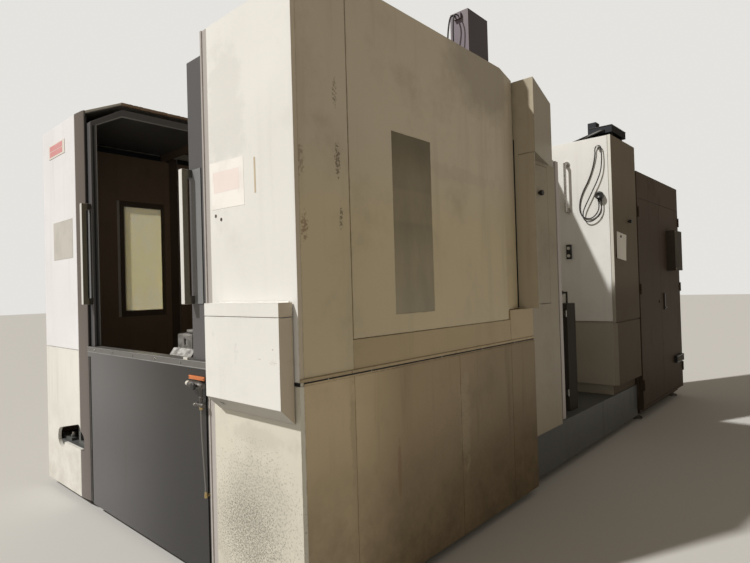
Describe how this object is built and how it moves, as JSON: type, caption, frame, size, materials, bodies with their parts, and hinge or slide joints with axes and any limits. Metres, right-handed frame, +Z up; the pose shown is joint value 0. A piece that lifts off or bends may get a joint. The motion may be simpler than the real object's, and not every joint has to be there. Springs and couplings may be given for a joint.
{
  "type": "cnc machining center",
  "caption": "Enclosed horizontal machining centre with sliding set-up doors, pallet changer, rotary table, column and spindle, tool magazine housing and electrical cabinet.",
  "frame": {"origin": "on the floor, under the middle of the whole machine", "axes": "+Z up, the set-up doors face -Y, the side with the tall window faces +X"},
  "size_m": [3.51, 6.97, 3.58],
  "materials": {
    "bed_paint": "satin, oily and dusty",
    "foot_steel": "semi-matt black",
    "frame_paint": "satin dark brown-grey",
    "cream_paint": "satin off-white, smudged",
    "grey_trim": "satin mid grey",
    "charcoal_paint": "satin charcoal, scuffed and stained",
    "track_steel": "worn satin",
    "window_light": "dusty, lets light through",
    "window_smoke": "smoky, reflective",
    "handle_steel": "brushed, worn",
    "cord_rubber": "matt black",
    "tower_paint": "satin brown-grey",
    "black_plastic": "matt black",
    "clear_plastic": "cloudy clear",
    "button_white": "gloss white",
    "sleeve_film": "cloudy film",
    "machined_steel": "machined, oily",
    "cabinet_paint": "satin cream, dusty",
    "unit_plastic": "semi-gloss dark",
    "cast_paint": "satin grey",
    "air_gun_metal": "worn metal"
  },
  "bodies": {
    "machine": {"bed": "bed_paint", "leveling_feet": "foot_steel", "main_frame": "frame_paint", "front_panel": "cream_paint", "front_skirts": "cream_paint", "left_pillar": "cream_paint", "front_trims": "grey_trim", "apron": "charcoal_paint", "door_track": "track_steel", "left_wall": "cream_paint", "left_window": "window_light", "corner_panel": "cream_paint", "side_sill": "cream_paint", "side_skirt": "cream_paint", "belt_lip": "cream_paint", "roof": "cream_paint", "roof_box": "cream_paint", "roof_leads": "cord_rubber", "side_tower": "cream_paint", "tower_rails": "grey_trim", "rear_housing": "cream_paint", "lube_cabinet": "charcoal_paint", "filter_bowl": "clear_plastic", "magazine_housing": "cream_paint", "doc_sleeve": "sleeve_film", "electrical_cabinet": "cabinet_paint", "console_box": "cream_paint", "air_gun": "air_gun_metal", "air_hose": "cord_rubber"},
    "setup_door_left": {"setup_door_left": "charcoal_paint", "handle_left": "handle_steel"},
    "setup_door_right": {"setup_door_right": "charcoal_paint", "handle_right": "handle_steel"},
    "side_door": {"side_door": "cream_paint", "side_window": "window_smoke"},
    "tower_door": {"tower_door": "tower_paint"},
    "tower_knob": {"tower_knob": "black_plastic"},
    "magazine_door": {"magazine_door": "cream_paint", "magazine_handle": "handle_steel", "button_box": "black_plastic", "lead_hook": "handle_steel", "lead_plug": "black_plastic", "hanging_lead": "cord_rubber"},
    "button_upper": {"button_upper": "button_white"},
    "button_lower": {"button_lower": "button_white"},
    "side_knob": {"side_knob": "black_plastic"},
    "tool_disc": {"tool_disc": "machined_steel", "tool_holders": "machined_steel"},
    "cabinet_door_front": {"cabinet_door_front": "cabinet_paint"},
    "cabinet_door_rear": {"cabinet_door_rear": "cabinet_paint", "heat_exchanger": "unit_plastic"},
    "console_lid": {"console_lid": "cream_paint"},
    "changer_arm": {"changer_arm": "cast_paint", "pallets": "machined_steel", "fixture_block": "machined_steel"},
    "saddle": {"saddle": "cast_paint"},
    "rotary_table": {"rotary_table": "machined_steel"},
    "column": {"column": "cast_paint"},
    "spindle_head": {"spindle_head": "cast_paint"},
    "spindle": {"spindle": "machined_steel"}
  },
  "joints": [
    {"name": "setup_door_left_slide", "type": "slide", "parent": "machine", "child": "setup_door_left", "axis": [1, 0, 0], "range_m": [0, 0.7885]},
    {"name": "setup_door_right_slide", "type": "slide", "parent": "machine", "child": "setup_door_right", "axis": [-1, 0, 0], "range_m": [0, 0.6435]},
    {"name": "side_door_hinge", "type": "hinge", "parent": "machine", "child": "side_door", "pos_m": [1.645, -3.049, 2.2], "axis": [0, 0, -1], "range_deg": [0, 100]},
    {"name": "tower_door_hinge", "type": "hinge", "parent": "machine", "child": "tower_door", "pos_m": [1.6197, -0.703, 2], "axis": [0, 0, 1], "range_deg": [0, 110]},
    {"name": "tower_knob_turn", "type": "hinge", "parent": "tower_door", "child": "tower_knob", "pos_m": [1.645, -0.86, 2.33], "axis": [1, 0, 0], "range_deg": [0, 90]},
    {"name": "magazine_door_hinge", "type": "hinge", "parent": "machine", "child": "magazine_door", "pos_m": [1.612, 0.8, 2.2], "axis": [0, 0, 1], "range_deg": [0, 110]},
    {"name": "button_upper_press", "type": "slide", "parent": "magazine_door", "child": "button_upper", "axis": [0, 1, 0], "range_m": [0, 0.005], "stiffness_N_per_m": 400, "springref_m": -0.003},
    {"name": "button_lower_press", "type": "slide", "parent": "magazine_door", "child": "button_lower", "axis": [0, 1, 0], "range_m": [0, 0.005], "stiffness_N_per_m": 400, "springref_m": -0.003},
    {"name": "side_knob_turn", "type": "hinge", "parent": "machine", "child": "side_knob", "pos_m": [1.645, 1.29, 2.258], "axis": [1, 0, 0], "range_deg": [0, 90]},
    {"name": "tool_disc_turn", "type": "hinge", "parent": "machine", "child": "tool_disc", "pos_m": [1.295, 1.1, 2.15], "axis": [0, 1, 0], "continuous": true},
    {"name": "cabinet_door_front_hinge", "type": "hinge", "parent": "machine", "child": "cabinet_door_front", "pos_m": [1.6543, 1.65, 1.4], "axis": [0, 0, -1], "range_deg": [0, 95]},
    {"name": "cabinet_door_rear_hinge", "type": "hinge", "parent": "machine", "child": "cabinet_door_rear", "pos_m": [1.6543, 3.47, 1.4], "axis": [0, 0, 1], "range_deg": [0, 110]},
    {"name": "console_lid_hinge", "type": "hinge", "parent": "machine", "child": "console_lid", "pos_m": [1.345, -3.407, 1.55], "axis": [-1, 0, 0], "range_deg": [0, 94]},
    {"name": "pallet_changer_turn", "type": "hinge", "parent": "machine", "child": "changer_arm", "pos_m": [0.0175, -2.1, 1], "axis": [0, 0, 1], "range_deg": [0, 180]},
    {"name": "table_feed", "type": "slide", "parent": "machine", "child": "saddle", "axis": [0, 1, 0], "range_m": [0, 0.6]},
    {"name": "table_turn", "type": "hinge", "parent": "saddle", "child": "rotary_table", "pos_m": [0.0175, -1.4, 0.95], "axis": [0, 0, 1], "continuous": true},
    {"name": "column_feed", "type": "slide", "parent": "machine", "child": "column", "axis": [1, 0, 0], "range_m": [-0.3, 0.3]},
    {"name": "head_feed", "type": "slide", "parent": "column", "child": "spindle_head", "axis": [0, 0, 1], "range_m": [-0.2, 0.5]},
    {"name": "spindle_turn", "type": "hinge", "parent": "spindle_head", "child": "spindle", "pos_m": [0.0175, -0.4, 1.7], "axis": [0, 1, 0], "continuous": true}
  ]
}
